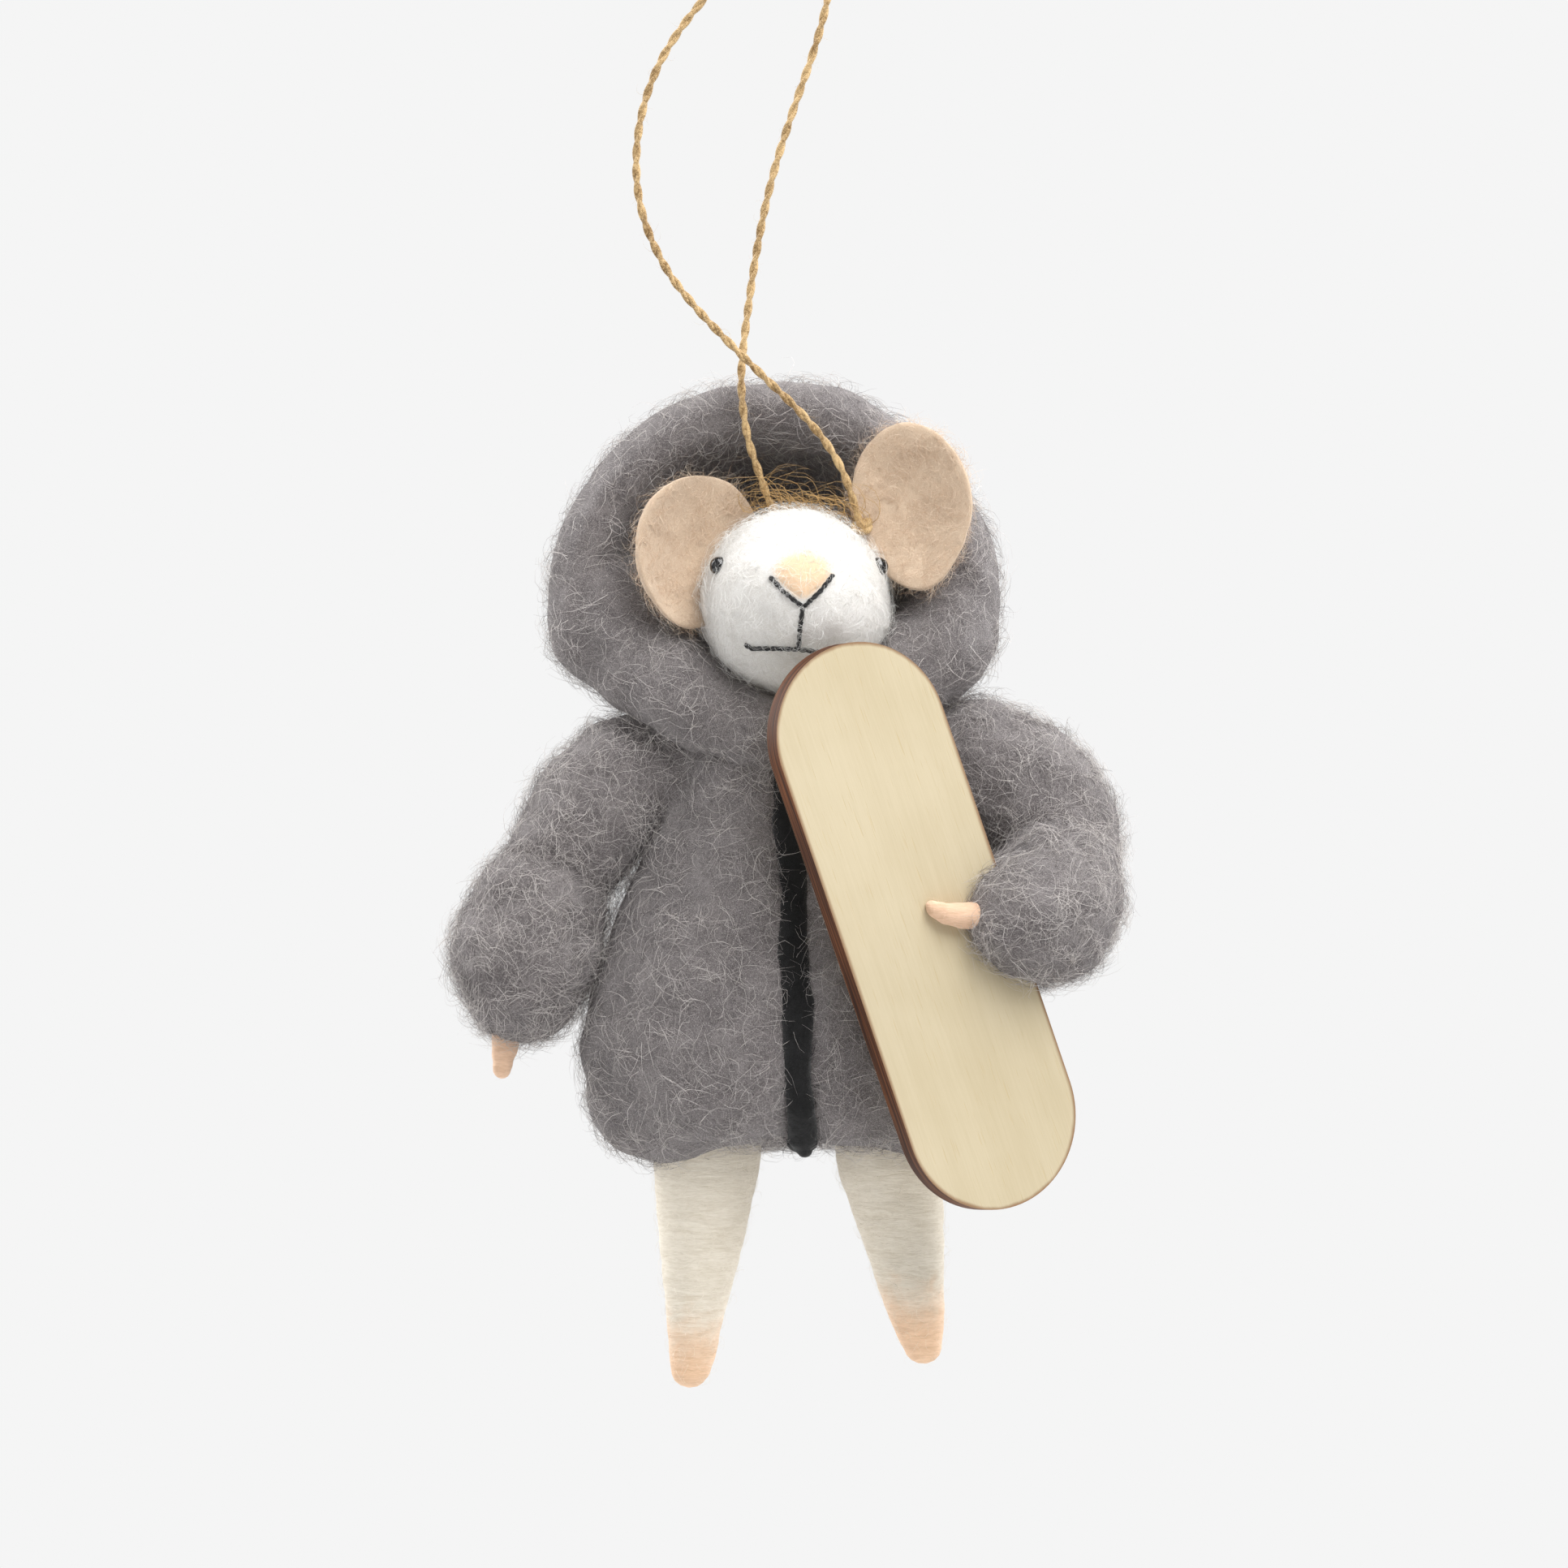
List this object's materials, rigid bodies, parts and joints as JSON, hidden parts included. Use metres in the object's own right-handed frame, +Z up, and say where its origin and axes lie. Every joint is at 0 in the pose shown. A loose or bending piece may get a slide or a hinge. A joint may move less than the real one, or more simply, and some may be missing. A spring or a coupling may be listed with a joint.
{
  "type": "felted mouse ornament",
  "caption": "Hanging felted wool mouse in a hooded coat, holding a small wooden board, with posable limbs, on a twine loop.",
  "frame": {"origin": "top of the twine loop, on the twine's centre line, where a hook or branch holds it", "axes": "+Z up along the hanging twine, +X to the mouse's left, +Y to its back"},
  "size_m": [0.09, 0.0558, 0.2038],
  "materials": {
    "grey_wool": "needle-felted mid-grey wool, fuzzy",
    "white_wool": "tightly felted white wool",
    "peach_felt": "dense peach felt",
    "peach_wool": "wound peach wool",
    "cream_wool": "wound cream wool",
    "foot_wool": "wound peach wool",
    "core_wool": "coarse core wool",
    "black_wool": "black wool roving",
    "thread": "black cotton thread",
    "bead": "glossy black glass",
    "birch_ply": "bare birch ply with a laser-burnt edge",
    "jute": "two-ply jute twine",
    "wire": "soft steel armature wire"
  },
  "bodies": {
    "head": {"head": "white_wool", "right_eye_bead": "bead", "left_eye_bead": "bead", "face_thread": "thread", "nose_patch": "peach_wool", "right_ear": "peach_felt", "left_ear": "peach_felt", "hood": "grey_wool", "twine_loop": "jute", "twine_knot": "jute", "twine_tuft": "jute"},
    "torso": {"coat_body": "grey_wool", "body_core": "core_wool", "zip_strip": "black_wool", "neck_wire": "wire", "spine_wire": "wire", "shoulder_wire": "wire", "pelvis_wire": "wire"},
    "right_upper_arm": {"right_upper_sleeve": "grey_wool", "right_upper_wire": "wire"},
    "right_forearm": {"right_fore_sleeve": "grey_wool", "right_fore_wire": "wire", "right_hand": "peach_wool"},
    "left_arm": {"left_upper_sleeve": "grey_wool", "left_fore_sleeve": "grey_wool", "left_arm_wire": "wire", "left_hand": "peach_wool", "board": "birch_ply"},
    "right_leg": {"right_leg": "cream_wool", "right_foot": "foot_wool", "right_leg_wire": "wire"},
    "left_leg": {"left_leg": "cream_wool", "left_foot": "foot_wool", "left_leg_wire": "wire"}
  },
  "joints": [
    {"name": "neck_turn", "type": "hinge", "parent": "head", "child": "torso", "pos_m": [0, 0.008, -0.1122], "axis": [0, 0, 1], "range_deg": [-8, 8]},
    {"name": "right_shoulder_swing", "type": "hinge", "parent": "torso", "child": "right_upper_arm", "pos_m": [-0.0195, 0.008, -0.1207], "axis": [-1, 0, 0], "range_deg": [-8, 60]},
    {"name": "right_elbow_bend", "type": "hinge", "parent": "right_upper_arm", "child": "right_forearm", "pos_m": [-0.0313, 0.007, -0.1334], "axis": [-1, 0, 0], "range_deg": [0, 50]},
    {"name": "left_shoulder_open", "type": "hinge", "parent": "torso", "child": "left_arm", "pos_m": [0.0195, 0.008, -0.1207], "axis": [0, 0, 1], "range_deg": [0, 35]},
    {"name": "right_hip_swing", "type": "hinge", "parent": "torso", "child": "right_leg", "pos_m": [-0.0113, 0.008, -0.1652], "axis": [-1, 0, 0], "range_deg": [-22, 22]},
    {"name": "left_hip_swing", "type": "hinge", "parent": "torso", "child": "left_leg", "pos_m": [0.0113, 0.008, -0.1652], "axis": [-1, 0, 0], "range_deg": [-22, 22]}
  ]
}
